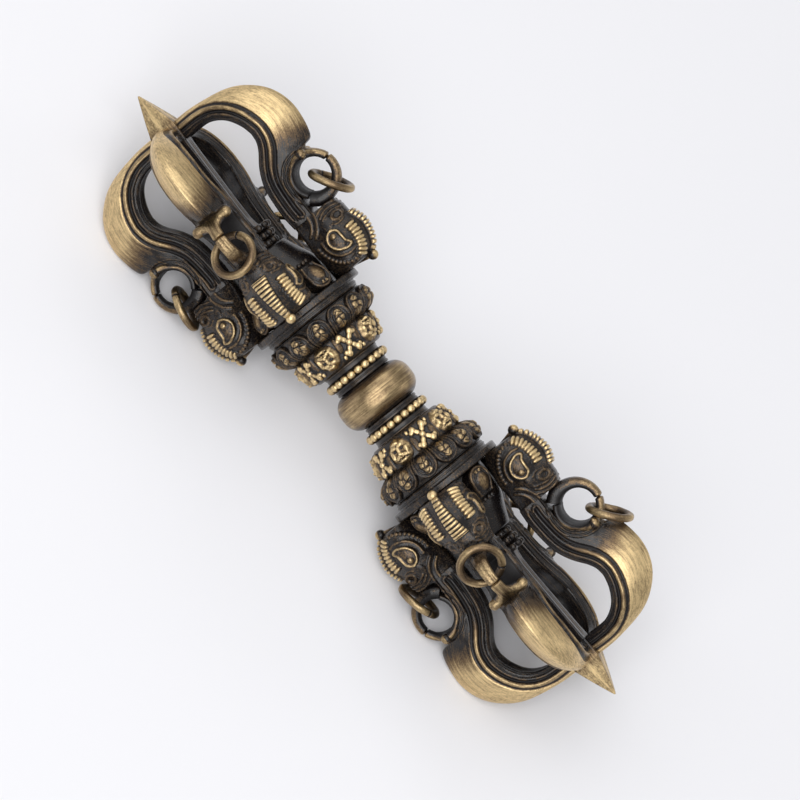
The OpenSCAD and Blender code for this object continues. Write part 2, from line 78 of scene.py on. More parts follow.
# Antique brass: cast or turned brass, blackened and then rubbed back, so that the high spots show
# warm metal and the hollows keep a glossy black skin. The attribute rub runs from 0, black, to 1.
# brush is the scratches' spacing in mm along each axis of the object, or of the attribute lie. Real
# brush lines are finer than a pixel, so they are drawn as wide as they need to show.
def antique_brass(name, brush, lie=None, shine=0.3, streak=0.8):
    bright, middle, skin = linear("#e8cd9b"), linear("#6e5b46"), linear("#161314")
    stain_mm, grit_mm = 2.6, 0.3
    stain_share, grit_share = 0.5, 0.5
    skin_metal, gloss, grime, rough_spread = 0.15, 0.17, 0.6, 0.14
    line_mm, pit_mm = 0.05, 0.08
    material = bpy.data.materials.new(name)
    material.use_nodes = True
    tree = material.node_tree
    shader = tree.nodes["Principled BSDF"]
    place = put(tree, "ShaderNodeTexCoord", {}).outputs["Object"]
    rub = put(tree, "ShaderNodeAttribute", {}, attribute_name="rub").outputs["Fac"]
    along = put(tree, "ShaderNodeAttribute", {}, attribute_name=lie).outputs["Vector"] if lie else place
    stretched = put(tree, "ShaderNodeMapping", {
        "Vector": along, "Scale": [1 / (MM * s) for s in brush]}).outputs["Vector"]
    scratch = put(tree, "ShaderNodeTexNoise", {
        "Vector": stretched, "Scale": 1.0, "Detail": 5.0, "Roughness": 0.7}).outputs["Fac"]
    stain = put(tree, "ShaderNodeTexNoise", {
        "Vector": place, "Scale": 1 / (MM * stain_mm), "Detail": 5.0, "Roughness": 0.6}).outputs["Fac"]
    grit = put(tree, "ShaderNodeTexNoise", {
        "Vector": place, "Scale": 1 / (MM * grit_mm), "Detail": 3.0}).outputs["Fac"]
    # How much metal shows: the rub, made uneven by the three noises, whose mean is taken off again
    amount = rub
    for noise, share in ((stain, stain_share), (grit, grit_share), (scratch, streak)):
        amount = put(tree, "ShaderNodeMath", {0: noise, 1: share, 2: amount},
                     operation="MULTIPLY_ADD").outputs[0]
    mean = (stain_share + grit_share + streak) / 2
    amount = put(tree, "ShaderNodeMath", {0: amount, 1: mean}, operation="SUBTRACT").outputs[0]
    first, second = [put(tree, "ShaderNodeMapRange", {"Value": amount, "From Min": low, "From Max": high},
                         interpolation_type="SMOOTHSTEP").outputs["Result"]
                     for low, high in ((0.04, 0.5), (0.35, 1.25))]
    lower = put(tree, "ShaderNodeMix", {0: first, 6: skin, 7: middle}, data_type="RGBA")
    upper = put(tree, "ShaderNodeMix", {0: second, 6: lower.outputs[2], 7: bright}, data_type="RGBA")
    tree.links.new(upper.outputs[2], shader.inputs["Base Color"])
    metal = put(tree, "ShaderNodeMapRange", {"Value": first, "To Min": skin_metal, "To Max": 1.0})
    tree.links.new(metal.outputs["Result"], shader.inputs["Metallic"])
    rough = put(tree, "ShaderNodeMapRange", {"Value": amount, "From Min": -0.45, "From Max": -0.1,
                                             "To Min": grime, "To Max": gloss}).outputs["Result"]
    for source, share in ((first, shine - gloss), (scratch, rough_spread)):
        rough = put(tree, "ShaderNodeMath", {0: source, 1: share, 2: rough},
                    operation="MULTIPLY_ADD").outputs[0]
    tree.links.new(rough, shader.inputs["Roughness"])
    lines = put(tree, "ShaderNodeBump", {"Strength": 0.45, "Distance": line_mm * MM, "Height": scratch})
    pits = put(tree, "ShaderNodeBump", {"Strength": 0.3, "Distance": pit_mm * MM, "Height": grit,
                                        "Normal": lines.outputs["Normal"]})
    tree.links.new(pits.outputs["Normal"], shader.inputs["Normal"])
    return material


turned_brass = antique_brass("turned_antique_brass", (0.14, 6, 6), shine=0.24, streak=1.5)
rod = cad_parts["core_rod"]
rod.data.materials.clear()
rod.data.materials.append(turned_brass)

# Central bead: a turned brass bead with a fully rounded edge, brushed round its axis and worn the
# brightest of all by the hand. It is threaded on the rod between the two pearl collars.
BEAD_R, BEAD_ROUND, BEAD_HALF = 8.4, 3.4, 4.0
BEAD_RUB, BEAD_FACE_RUB = 0.64, 0.06


def smooth_step(low, high, x):
    t = np.clip((x - low) / (high - low), 0, 1)
    return t * t * (3 - 2 * t)


# Unit normals of a tube of points, rows along it and columns round it
def outward(points):
    down = np.gradient(points, axis=0)
    across = np.roll(points, -1, axis=1) - np.roll(points, 1, axis=1)
    normal = np.cross(across, down)
    normal /= np.maximum(np.linalg.norm(normal, axis=2, keepdims=True), 1e-12)
    middle = points.mean(axis=1, keepdims=True)
    return normal if (normal * (points - middle)).sum() > 0 else -normal


# How far each point stands above its blurred surroundings, in mm
def proud(points, normal, steps):
    soft = points
    for _ in range(steps):
        padded = np.concatenate([soft[:1], soft, soft[-1:]])
        beside = np.roll(soft, 1, axis=1) + np.roll(soft, -1, axis=1)
        soft = (padded[:-2] + padded[2:] + beside + 2 * soft) / 6
    return ((points - soft) * normal).sum(axis=2)


# A closed skin over a tube of points in mm: a grid primitive, put in place, its seam and poles merged
def skin_over(name, points, rub, lie=None):
    rows, columns = rub.shape
    bpy.ops.object.select_all(action="DESELECT")
    bpy.ops.mesh.primitive_grid_add(x_subdivisions=columns, y_subdivisions=rows - 1, size=1)
    piece = bpy.context.object
    piece.name = piece.data.name = name
    mesh = piece.data
    fields = {"rub": rub, "lie": (points if lie is None else lie) * MM}
    wrapped = np.concatenate([points, points[:, :1]], axis=1) * MM
    mesh.vertices.foreach_set("co", wrapped.astype(np.float32).ravel())
    for field, values in fields.items():
        kind, key = ("FLOAT", "value") if field == "rub" else ("FLOAT_VECTOR", "vector")
        wrapped = np.concatenate([values, values[:, :1]], axis=1)
        mesh.attributes.new(field, kind, "POINT").data.foreach_set(key, wrapped.astype(np.float32).ravel())
    bpy.ops.object.mode_set(mode="EDIT")
    bpy.ops.mesh.select_all(action="SELECT")
    bpy.ops.mesh.remove_doubles(threshold=1e-7)
    bpy.ops.mesh.normals_make_consistent(inside=False)
    bpy.ops.object.mode_set(mode="OBJECT")
    bpy.ops.object.shade_smooth()
    return piece


# A turned blank: a profile of (along, radius) points with its two ends closed on the axis
def turned_blank(profile, around):
    profile = np.array([(profile[0][0], 0.0), *profile, (profile[-1][0], 0.0)])
    angle = np.linspace(0, 2 * math.pi, around, endpoint=False)
    along = np.repeat(profile[:, :1], around, axis=1)
    points = np.stack([along, profile[:, 1:] * np.cos(angle), profile[:, 1:] * np.sin(angle)], axis=2)
    return points, angle


# A finished piece: its own copy of the mesh, turned to its prong and mirrored for the left end
def fit_to(master, name, side, turn, material, node, body=ROOT):
    piece = master.copy()
    piece.data = master.data.copy()
    piece.name = piece.data.name = name
    bpy.context.scene.collection.objects.link(piece)
    piece.data.transform(Matrix.Diagonal((side, 1, 1, 1)) @ Matrix.Rotation(math.radians(turn), 4, "X"))
    if side < 0:
        piece.data.flip_normals()
    piece.data.materials.clear()
    piece.data.materials.append(material)
    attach(piece, body)
    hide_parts(node)


def drop(master):
    bpy.data.objects.remove(master)


arc = np.linspace(0, math.pi / 2, 14)
half_profile = [(BEAD_HALF + BEAD_ROUND * (math.cos(a) - 1), BEAD_R + BEAD_ROUND * (math.sin(a) - 1))
                for a in arc]
bead_profile = [(-w, r) for w, r in half_profile] + [(w, r) for w, r in reversed(half_profile)]
bead_points, _ = turned_blank(bead_profile, around=128)
bead_edge = smooth_step(0.5, 1.0, abs(bead_points[:, :, 0]) / BEAD_HALF)
bead_rub = BEAD_RUB - (BEAD_RUB - BEAD_FACE_RUB) * bead_edge
bead = skin_over("bead", bead_points, bead_rub)
fit_to(bead, "worn_bead", 1, 0, turned_brass, "centre_bead")
drop(bead)

# Pearl collars: a turned neck with a string of pearls in a groove, one on each side of the bead.
# The pearls are rubbed bright, and the groove behind them is left black.
COLLAR_AT, COLLAR_END, COLLAR_R = 4.0, 8.45, 6.1
PEARL_R, PEARL_RING_R, PEARLS = 0.96, 6.36, 24


# Small balls of one radius at the given centres, each rubbed on the side that faces out
def balls(name, centres, outs, radius, rub=1.0):
    bpy.ops.object.select_all(action="DESELECT")
    bpy.ops.mesh.primitive_uv_sphere_add(segments=20, ring_count=12, radius=1)
    seed = bpy.context.object
    seed.name = name
    bpy.ops.object.shade_smooth()
    base = np.zeros(len(seed.data.vertices) * 3)
    seed.data.vertices.foreach_get("co", base)
    base = base.reshape(-1, 3)
    copies = []
    for centre, out in zip(np.array(centres, float), np.array(outs, float)):
        out = out / np.linalg.norm(out)
        ball = seed.copy()
        ball.data = seed.data.copy()
        bpy.context.scene.collection.objects.link(ball)
        high = base @ out
        place = centre + base * radius
        ball.data.vertices.foreach_set("co", (place * MM).astype(np.float32).ravel())
        worn = rub * smooth_step(-0.1, 0.75, high)
        ball.data.attributes.new("rub", "FLOAT", "POINT").data.foreach_set("value", worn.astype(np.float32))
        ball.data.attributes.new("lie", "FLOAT_VECTOR", "POINT").data.foreach_set(
            "vector", (place * MM).astype(np.float32).ravel())
        copies.append(ball)
    drop(seed)
    return copies


def join(name, parts):
    bpy.ops.object.select_all(action="DESELECT")
    for part in parts:
        part.select_set(True)
    bpy.context.view_layer.objects.active = parts[0]
    bpy.ops.object.join()
    parts[0].name = parts[0].data.name = name
    return parts[0]


# A turned profile with more points near its corners, so that they stay crisp when shaded smooth
def crisp(profile, shares):
    profile = np.array(profile)
    return [tuple(a + (b - a) * t) for a, b in zip(profile, profile[1:]) for t in shares]


# The same piece at both ends
def both_ends(master, name, material, node):
    for side, sign in SIDES.items():
        fit_to(master, f"{side}_{name}", sign, 0, material, f"{side}_{node}")
    drop(master)


collar_mid = (COLLAR_AT + COLLAR_END) / 2
neck = [(COLLAR_AT, 6.0), (COLLAR_AT + 0.15, 6.15), (COLLAR_AT + 0.5, 6.15), (COLLAR_AT + 0.6, 5.98),
        (COLLAR_AT + 0.75, 5.98), (COLLAR_AT + 0.85, COLLAR_R), (collar_mid - 1.0, COLLAR_R),
        (collar_mid - 0.85, 5.95), (collar_mid, 5.7), (collar_mid + 0.85, 5.95),
        (collar_mid + 1.0, COLLAR_R), (COLLAR_END - 0.5, COLLAR_R), (COLLAR_END - 0.4, 6.2),
        (COLLAR_END, 6.25)]
neck_points, _ = turned_blank(crisp(neck, (0, 0.12, 0.5, 0.88)), around=96)
neck_rub = 0.05 + 1.2 * np.clip(proud(neck_points, outward(neck_points), steps=2), 0, 0.2)
collar = skin_over("neck", neck_points, neck_rub)
spin = np.linspace(0, 2 * math.pi, PEARLS, endpoint=False)
ring_out = np.stack([0 * spin, np.cos(spin), np.sin(spin)], axis=1)
pearls = balls("pearl", ring_out * PEARL_RING_R + [collar_mid, 0, 0], ring_out, PEARL_R)
collar = join("collar", [collar, *pearls])
both_ends(collar, "pearl_string", turned_brass, "pearl_collar")

# Face tiers: a cast barrel that widens away from the bead, with five lion faces and five crossed
# vajras in relief, blank lobes beside the vajras and a stud in each corner near the bead.
TIER_AT, TIER_END, TIER_PARTS, TIER_R = 8.45, 14.55, 10, 8.9
cast_brass = antique_brass("cast_antique_brass", (0.6, 0.6, 0.6))


# Smooth curve through a list of points, a given number of steps per point
def curve(points, steps, closed=False):
    points = np.array(points, float)
    count = len(points)
    t = np.arange(count * steps if closed else (count - 1) * steps + 1) / steps
    i = np.minimum(t.astype(int), count - 1 if closed else count - 2)
    t = (t - i).reshape((-1,) + (1,) * (points.ndim - 1))
    pick = (lambda k: points[k % count]) if closed else (lambda k: points[np.clip(k, 0, count - 1)])
    a, b, c, d = pick(i - 1), pick(i), pick(i + 1), pick(i + 2)
    square, cube = 2 * a - 5 * b + 4 * c - d, 3 * b - a - 3 * c + d
    return 0.5 * (2 * b + (c - a) * t + square * t ** 2 + cube * t ** 3)


# Distance from each place (a, b) to a line through the given points
def reach(a, b, line):
    best = np.full(a.shape, 1e9)
    for (p, q), (r, s) in zip(line, line[1:]):
        dx, dy = r - p, s - q
        t = np.clip(((a - p) * dx + (b - q) * dy) / max(dx * dx + dy * dy, 1e-12), 0, 1)
        best = np.minimum(best, np.hypot(a - p - t * dx, b - q - t * dy))
    return best


# Rounded ridge, 1 along its line and 0 at half its width
def ridge(distance, half):
    return np.sqrt(np.clip(1 - (distance / half) ** 2, 0, 1))


# Round boss, 1 in its middle and 0 at its edge
def boss(a, b, middle, half_a, half_b):
    return np.sqrt(np.clip(1 - ((a - middle[0]) / half_a) ** 2 - ((b - middle[1]) / half_b) ** 2, 0, 1))


tier_profile = curve([(TIER_AT, 7.3), (TIER_AT + 0.25, 7.75), (TIER_AT + 0.9, 8.2), (TIER_AT + 2.2, 8.6),
                      (TIER_AT + 3.8, 8.95), (TIER_AT + 5.1, 9.1), (TIER_AT + 5.75, 8.9),
                      (TIER_END, 8.3)], steps=12)
tier_points, angle = turned_blank([tuple(p) for p in tier_profile], around=480)
w = tier_points[:, :, 0] - (TIER_AT + TIER_END) / 2
pitch = 2 * math.pi / TIER_PARTS
part_index = np.round(angle / pitch).astype(int) % TIER_PARTS
across = np.broadcast_to((angle - np.round(angle / pitch) * pitch) * TIER_R, w.shape)
is_face = np.broadcast_to(part_index % 2 == 0, w.shape)
from_middle = np.hypot(w, across)
turn = np.arctan2(across, w)
tuft = 0.5 + 0.5 * np.cos(9 * turn + 0.8 * np.sin(2 * turn) + 0.5 * part_index)
# Lion faces: a round cushion inside a tufted mane
mane = ridge(from_middle - 2.1, 0.6) * (0.35 + 0.65 * tuft)
face_height = 0.7 * smooth_step(2.6, 1.5, from_middle) + 0.3 * mane
face_gold = 0.5 * smooth_step(2.7, 2.2, from_middle) + 0.15 * mane
# Brows, nose, muzzle, cheeks, chin, forelock and ears: middle, half sizes and height in mm
features = [((-1.0, 0.72), 0.4, 0.68, 0.34), ((-1.0, -0.72), 0.4, 0.68, 0.34),
            ((-0.1, 0.0), 0.95, 0.36, 0.4), ((0.62, 0.0), 0.34, 0.62, 0.42),
            ((1.02, 0.62), 0.5, 0.62, 0.36), ((1.02, -0.62), 0.5, 0.62, 0.36),
            ((1.85, 0.0), 0.34, 0.7, 0.34), ((-1.65, 0.0), 0.42, 0.75, 0.3),
            ((0.25, 1.5), 0.75, 0.45, 0.3), ((0.25, -1.5), 0.75, 0.45, 0.3)]
for middle, half_a, half_b, height in features:
    bump = boss(w, across, middle, half_a, half_b)
    face_height = face_height + height * bump
    face_gold = face_gold + 0.2 * smooth_step(0.1, 0.8, bump)
for eye in ((-0.38, 0.82), (-0.38, -0.82)):
    socket = boss(w, across, eye, 0.28, 0.38)
    face_height = face_height - 0.25 * socket + 0.25 * boss(w, across, eye, 0.18, 0.2)
    face_gold = face_gold - 0.5 * socket
mouth = ridge(reach(w, across, [(1.55, -1.0), (1.3, -0.5), (1.45, 0), (1.3, 0.5), (1.55, 1.0)]), 0.13)
face_height = face_height - 0.25 * mouth
face_gold = face_gold - 0.45 * mouth
# Crossed vajras: four arms, each with a ball and a beak beside it, round a boss
cross_height = 0 * w
for end in ((-1.7, -1.25), (-1.7, 1.15), (1.65, -1.3), (1.75, 1.2)):
    arm = ridge(reach(w, across, [(end[0] * 0.5, end[1] * 0.45), end]), 0.6)
    ball = boss(w, across, end, 0.8, 0.75)
    beak = boss(w, across, (end[0] * 0.82, end[1] * 1.45), 0.6, 0.62)
    cross_height = np.maximum(cross_height, np.maximum(0.58 * arm, np.maximum(0.8 * ball, 0.58 * beak)))
cross_height = np.maximum(cross_height, 0.85 * boss(w, across, (0, 0), 0.72, 0.68))
cross_gold = 0.85 * smooth_step(0.2, 0.6, cross_height)
for sign in (-1, 1):
    lobe = boss(w, across, (0.7, 2.3 * sign), 1.7, 0.75)
    stud = boss(w, across, (-2.0, 2.45 * sign), 0.48, 0.48)
    cross_height = np.maximum(cross_height, np.maximum(0.42 * lobe, 0.55 * stud))
    cross_gold = np.maximum(cross_gold, np.maximum(0.1 * (lobe > 0), 0.8 * smooth_step(0.2, 0.8, stud)))
tier_height = np.where(is_face, face_height, cross_height)
tier_height[[0, -1]] = 0
tier_points = tier_points + outward(tier_points) * tier_height[:, :, None]
tier_rub = np.where(is_face, face_gold, cross_gold) + 0.1
tier_rub = tier_rub + 3.4 * np.clip(proud(tier_points, outward(tier_points), steps=8), -0.22, 0.12)
tier = skin_over("tier", tier_points, tier_rub)
both_ends(tier, "lion_tier", cast_brass, "face_tier")

# Lotus rings: fourteen cast petals round a barrel, each with a double rim and a small chased figure
# inside it. A petal's round end points to the rim disc.
LOTUS_AT, LOTUS_END, PETALS, LOTUS_R = 14.55, 19.45, 14, 11.3
lotus_profile = curve([(LOTUS_AT, 8.9), (LOTUS_AT + 0.3, 9.6), (LOTUS_AT + 0.9, 10.5),
                       (LOTUS_AT + 1.7, 11.1), (LOTUS_AT + 2.6, 11.25), (LOTUS_AT + 3.6, 11.1),
                       (LOTUS_AT + 4.3, 10.85), (LOTUS_END, 10.7)], steps=10)
lotus_points, angle = turned_blank([tuple(p) for p in lotus_profile], around=560)
w = lotus_points[:, :, 0] - LOTUS_AT
pitch = 2 * math.pi / PETALS
across = np.broadcast_to((angle - np.round(angle / pitch) * pitch) * LOTUS_R, w.shape)
petal_half, petal_tip = 2.5, 4.45
inside = np.where(w < petal_tip - petal_half, petal_half - abs(across),
                  petal_half - np.hypot(w - petal_tip + petal_half, across))
lift = smooth_step(-0.12, 0.12, inside)
lotus_height = -0.35 + 0.55 * lift
for depth, half, height in ((0.32, 0.28, 0.36), (0.92, 0.22, 0.28)):
    lotus_height = lotus_height + height * ridge(inside - depth, half)
# No two petals' figures are quite alike, as they are chased by hand
petal_index = np.round(angle / pitch).astype(int) % PETALS
sway, lean = 0.28 * np.sin(2.4 * petal_index), 0.2 * np.sin(4.1 * petal_index + 1)
figure = 0 * w
for middle, half_a, half_b, height, share in (
        ((0.92, 0), 0.68, 1.25, 0.5, 0.4), ((1.85, 0.46), 0.88, 0.74, 0.68, 1),
        ((1.8, -0.5), 0.82, 0.72, 0.62, -1), ((2.9, 0), 0.66, 0.9, 0.7, 0.6)):
    shifted = (w - lean * share, across - sway * share)
    figure = np.maximum(figure, height * boss(*shifted, middle, half_a, half_b))
# Thin chased lines part each figure
chased = np.maximum(ridge(w - lean - 2.32 - sway * across, 0.13),
                    ridge(across - sway - 0.3 * (w - 1.5), 0.12) * (w < 2.3))
for sign in (-1, 1):
    upper_line = reach(w - lean, across + sway, [(2.75, 0.7 * sign), (3.2, 0.12 * sign)])
    lower_line = reach(w - lean, across - sway, [(1.1, 1.1 * sign), (1.55, 0.25 * sign)])
    chased = np.maximum(chased, np.maximum(ridge(upper_line, 0.1), ridge(lower_line, 0.11)))
chased = chased * smooth_step(0.1, 0.3, figure)
lotus_height = lotus_height + figure - 0.22 * chased
lotus_height[[0, -1]] = 0
lotus_points = lotus_points + outward(lotus_points) * lotus_height[:, :, None]
lotus_rub = 0.08 + 0.58 * smooth_step(0.1, 0.6, figure) - 0.5 * chased + 0.06 * ridge(inside - 0.32, 0.3)
lotus_rub = lotus_rub + 0.9 * np.clip(proud(lotus_points, outward(lotus_points), steps=8), -0.15, 0.12)
lotus = skin_over("lotus", lotus_points, lotus_rub)
both_ends(lotus, "lotus_petals", cast_brass, "lotus_ring")

# Rim discs: a turned neck and a plain flat-edged disc that the four heads stand on.
# They are left dark, and rubbed only along the disc's edges.
DISC_AT, DISC_END, DISC_R, NECK_R = 20.85, 22.45, 12.2, 10.6
rim = [(LOTUS_END, 10.4), (LOTUS_END + 0.3, NECK_R), (LOTUS_END + 0.55, NECK_R), (LOTUS_END + 0.62, 10.75),
       (LOTUS_END + 0.85, 10.75), (LOTUS_END + 0.92, NECK_R), (DISC_AT - 0.05, NECK_R), (DISC_AT, 10.8),
       (DISC_AT + 0.02, DISC_R - 0.25), (DISC_AT + 0.22, DISC_R), (DISC_END - 0.22, DISC_R),
       (DISC_END - 0.02, DISC_R - 0.25), (DISC_END, 10.5)]
rim_points, _ = turned_blank(crisp(rim, (0, 0.08, 0.5, 0.92)), around=128)
rim_rub = 0.07 + 1.2 * np.clip(proud(rim_points, outward(rim_points), steps=3), -0.1, 0.15)
rim_piece = skin_over("rim", rim_points, rim_rub)
both_ends(rim_piece, "rim", cast_brass, "rim_disc")

# Hubs: the cast block inside the four heads, with a drooping petal in each corner between them.
# A corner petal's round end touches the disc; three small pearls close its other end.
HUB_R, HUB_END, HUB_END_R = 7.9, 35.55, 5.0
CORNER_HALF, CORNER_FROM, CORNER_TO = 2.5, 22.6, 28.4
CORNER_OUT, CORNER_IN, CORNER_DROOP = 10.9, 7.2, 1.9
STUD_AT, STUD_R = 29.1, 0.5
core = curve([(DISC_END, 7.6), (DISC_END + 0.4, HUB_R), (DISC_END + 4, HUB_R), (DISC_END + 7, 7.6),
              (DISC_END + 10, 6.3), (HUB_END, HUB_END_R)], steps=6)
core_points, _ = turned_blank([tuple(p) for p in core], around=64)
hub_parts = [skin_over("hub_core", core_points, np.full(core_points.shape[:2], 0.02))]
rows, columns = 74, 120
t = np.linspace(0, 1, rows)[:, None]
ring = np.linspace(0, 2 * math.pi, columns, endpoint=False)[None, :]
# Each row is a flattened tube across the petal: its upper half is the carved face
face_w = CORNER_FROM + (CORNER_TO - CORNER_FROM) * t
round_part = np.clip((CORNER_FROM + CORNER_HALF - face_w) / CORNER_HALF, 0, 1)
taper = 1 - 0.25 * smooth_step(26, CORNER_TO, face_w)
half = CORNER_HALF * np.sqrt(np.clip(1 - round_part ** 2, 0, 1)) * taper
across = half * np.cos(ring)
top = np.sin(ring) > 0
out = CORNER_OUT - CORNER_DROOP * smooth_step(24.5, 29.5, face_w) - 0.06 * across ** 2
up = np.where(top, out, CORNER_IN) + 0.25 * np.sin(ring)
inside = half - abs(across)
round_inside = CORNER_HALF - np.hypot(face_w - CORNER_FROM - CORNER_HALF, across)
inside = np.where(face_w < CORNER_FROM + CORNER_HALF, np.minimum(inside, round_inside), inside)
height = 0.25 * ridge(inside - 0.3, 0.28) + 0.18 * ridge(inside - 0.85, 0.2)
dome = boss(face_w, across, (26.0, 0), 2.2, 1.55)
pair = np.maximum(*[boss(face_w, across, (23.7, 0.5 * sign), 0.42, 0.42) for sign in (-1, 1)])
height = height + 0.6 * dome + 0.4 * pair
corner_points = np.stack([face_w * np.ones_like(up), up + np.where(top, height, 0), across], axis=2)
corner_rub = 0.06 + 0.45 * smooth_step(0.45, 0.95, dome) + 0.6 * smooth_step(0.3, 0.8, pair)
corner_rub = np.where(top, corner_rub + 0.26 * ridge(inside - 0.3, 0.3), 0.0)
corner_points[0] = corner_points[0].mean(axis=0)
corner_points[-1] = corner_points[-1].mean(axis=0)
corner = skin_over("corner_petal", corner_points, corner_rub)
studs = balls("corner_pearl", [(STUD_AT, 8.6, 1.0), (STUD_AT, 8.85, 0), (STUD_AT, 8.6, -1.0)],
              [(0.3, 1, 0.3), (0.3, 1, 0), (0.3, 1, -0.3)], STUD_R, rub=0.1)
corner = join("corner_petal", [corner, *studs])
for quarter in range(4):
    petal = corner.copy()
    petal.data = corner.data.copy()
    bpy.context.scene.collection.objects.link(petal)
    petal.data.transform(Matrix.Rotation(quarter * math.pi / 2, 4, "X"))
    hub_parts.append(petal)
drop(corner)
hub = join("hub", hub_parts)
both_ends(hub, "corner_petals", cast_brass, "hub")

# Spikes: a four-sided cast shaft with three beaded knots at its foot, filed to a four-sided point.
# Its edges lie between the prongs, and a line runs along each side of every edge.
SPIKE_AT, SPIKE_END, TIP_FROM, SQUARENESS = 35.55, 75.0, 66.2, 48
KNOTS, KNOT_PITCH, KNOT_R, KNOT_GROWS, KNOT_ROUND = 3, 1.7, 3.7, 0.3, 0.75
filed_brass = antique_brass("filed_antique_brass", (9, 0.3, 0.3), lie="lie", shine=0.36, streak=1.5)
spike_rows = curve([(40.2, 2.6), (43, 2.15), (52, 2.3), (61.5, 2.6), (62.8, 2.8), (TIP_FROM, 2.95),
                    (67.4, 2.68), (70.0, 1.86), (72.6, 0.98), (74.4, 0.36), (SPIKE_END, 0.12)], steps=16)
ring = np.linspace(0, 2 * math.pi, 96, endpoint=False)
# A square with softly rounded edges, its flats towards the prongs at 45 degrees
square = (abs(np.cos(ring + math.pi / 4)) ** SQUARENESS
          + abs(np.sin(ring + math.pi / 4)) ** SQUARENESS) ** (-1 / SQUARENESS)
spike_w = np.repeat(spike_rows[:, :1], 96, axis=1)
reach_out = spike_rows[:, 1:] * square
edge = abs((ring + math.pi / 4) % (math.pi / 2) - math.pi / 4)
line_off = (math.pi / 4 - edge) * np.ones_like(spike_w)
line_part = smooth_step(42, 44, spike_w) * smooth_step(TIP_FROM - 3, TIP_FROM - 6, spike_w)
line_depth = 0.16 * ridge(line_off - 0.24, 0.07) * line_part
reach_out = reach_out - line_depth
spike_points = np.stack([spike_w, reach_out * np.cos(ring), reach_out * np.sin(ring)], axis=2)
spike_points = np.concatenate([spike_points[:1] * [1, 0, 0], spike_points, spike_points[-1:] * [1, 0, 0]])
spike_w = spike_points[:, :, 0]
corner_near = smooth_step(0.3, 0.05, np.concatenate([line_off[:1], line_off, line_off[-1:]]))
spike_rub = 0.06 + 0.72 * smooth_step(TIP_FROM - 4, TIP_FROM + 3, spike_w) + 0.3 * corner_near
spike_rub[1:-1] -= 2.0 * line_depth
spike_parts = [skin_over("shaft", spike_points, spike_rub, lie=spike_points)]
for k in range(KNOTS):
    middle = SPIKE_AT + 0.9 + KNOT_PITCH * k
    inner_r = KNOT_R + KNOT_GROWS * k - 0.3
    bend = np.linspace(-math.pi / 2, math.pi / 2, 12)
    knot_profile = [(middle + KNOT_ROUND * math.sin(a), inner_r + KNOT_ROUND * math.cos(a)) for a in bend]
    knot_points, angle = turned_blank(knot_profile, around=160)
    from_axis = np.hypot(knot_points[:, :, 1], knot_points[:, :, 2])
    beading = np.cos(12 * angle)[None, :] * smooth_step(3.2, 3.9, from_axis)
    grow = 1 + 0.06 * beading
    knot_points = knot_points * np.stack([np.ones_like(grow), grow, grow], axis=2)
    spike_parts.append(skin_over("knot", knot_points, 0.06 + 0.08 * beading, lie=knot_points))
spike = join("spike", spike_parts)
both_ends(spike, "spear", filed_brass, "spike")

# Makara heads: cast sea-monster heads that stand on the rim disc, one for each prong, with a ribbed
# crest, ribbed brows, a rimmed eye inside a beaded ruff, and a trunk that curls up into half a loop.
HEAD_AT, MOUTH_AT, HEAD_LOW, HEAD_CREST, HEAD_WIDTH = 22.45, 35.55, 8.3, 19.6, 11.0
LOOP_AT, LOOP_OUT, LOOP_HOLE, BAND, NOTCH, END_ROUND = 41.4, 18.0, 3.4, 1.4, 75.0, 0.3
CREST_FROM, CREST_LONG, RIB_FROM, RIB_PITCH = 22.6, 8.9, 22.7, 0.742
BROW_RIBS, RUFF_PITCH = 9, 0.84
PRONGS = {"up_back": 45, "up_front": 135, "down_front": 225, "down_back": 315}


# The same piece at every prong of both ends
def each_prong(master, name, material, node):
    for side, sign in SIDES.items():
        for spot, turn in PRONGS.items():
            fit_to(master, f"{side}_{spot}_{name}", sign, turn, material, f"{side}_{node}_{spot}")
    drop(master)


# The same tube closed by a pole at each end, and its fields with their end rows repeated
def capped(points, *fields):
    poles = [np.broadcast_to(points[k].mean(axis=0), points[:1].shape) for k in (0, -1)]
    return [np.concatenate([poles[0], points, poles[1]]),
            *[np.concatenate([field[:1], field, field[-1:]]) for field in fields]]


long = MOUTH_AT - HEAD_AT
# Stations along the head: place, low and high edge, half width and half of the crest's width
skull = curve([(HEAD_AT, HEAD_LOW + 1.4, HEAD_CREST - 3.2, HEAD_WIDTH * 0.4, 0.9),
               (HEAD_AT + long * 0.16, HEAD_LOW + 0.6, HEAD_CREST - 1, HEAD_WIDTH * 0.475, 1.0),
               (HEAD_AT + long * 0.45, HEAD_LOW, HEAD_CREST, HEAD_WIDTH * 0.5, 1.2),
               (HEAD_AT + long * 0.68, HEAD_LOW, HEAD_CREST - 0.9, HEAD_WIDTH * 0.43, 1.4),
               (HEAD_AT + long * 0.87, HEAD_LOW, LOOP_OUT + 0.4, HEAD_WIDTH * 0.34, 1.5),
               (MOUTH_AT, HEAD_LOW, LOOP_OUT - 0.4, HEAD_WIDTH * 0.3, 1.5)], steps=26)
